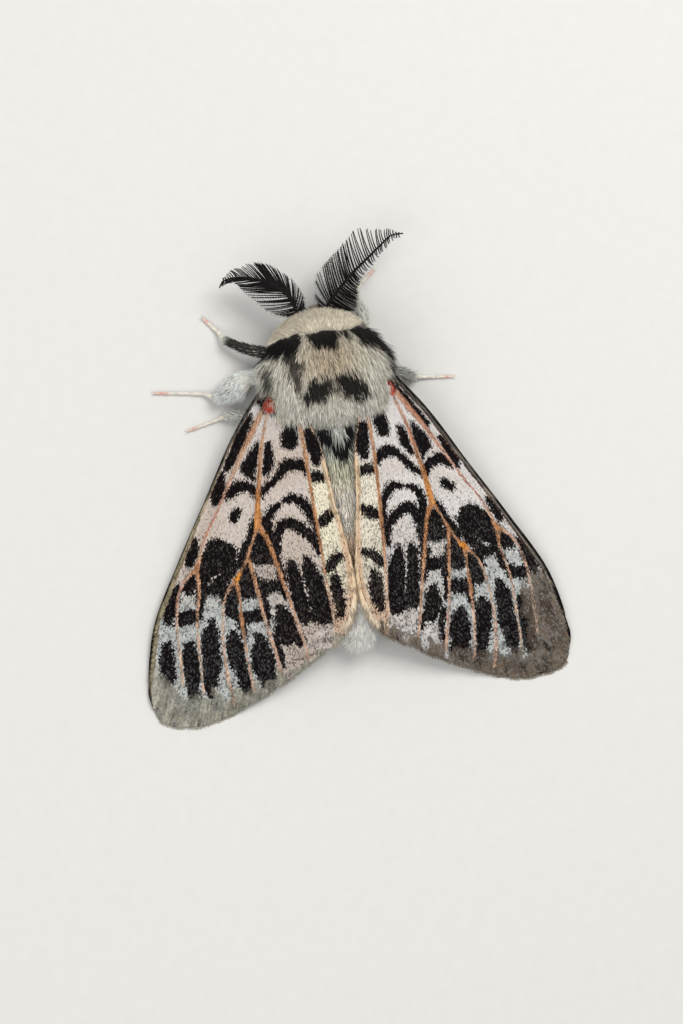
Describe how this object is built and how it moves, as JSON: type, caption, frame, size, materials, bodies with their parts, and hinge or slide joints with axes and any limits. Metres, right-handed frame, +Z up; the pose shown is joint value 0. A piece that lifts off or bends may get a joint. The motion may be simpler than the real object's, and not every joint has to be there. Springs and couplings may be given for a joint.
{
  "type": "moth model",
  "caption": "Life-size still model of a tussock moth at rest, with patterned roof-like wings, a furred body and feathered antennae.",
  "frame": {"origin": "on the floor, under the middle of the bounding box", "axes": "+Z up from the floor it rests on, -Y towards the head, +X towards the moth's own left wing"},
  "size_m": [0.037, 0.0402, 0.0076],
  "materials": {
    "wool": "pale grey-cream fur with dark brown spots",
    "wing": "matt scales, white and black between orange veins",
    "hindwing": "matt plain scales",
    "leg": "pale scales and fur, with pink feet",
    "antenna": "matt black-brown",
    "eye": "glossy dark facets"
  },
  "bodies": {
    "root": {"head": "wool", "thorax": "wool", "abdomen": "wool", "eye_left": "eye", "eye_right": "eye", "palp_left": "wool", "palp_right": "wool", "antenna_left": "antenna", "antenna_right": "antenna", "forewing_left": "wing", "forewing_right": "wing", "hindwing_left": "hindwing", "hindwing_right": "hindwing", "foreleg_left": "leg", "foreleg_right": "leg", "midleg_left": "leg", "midleg_right": "leg", "hindleg_left": "leg", "hindleg_right": "leg"}
  },
  "joints": []
}
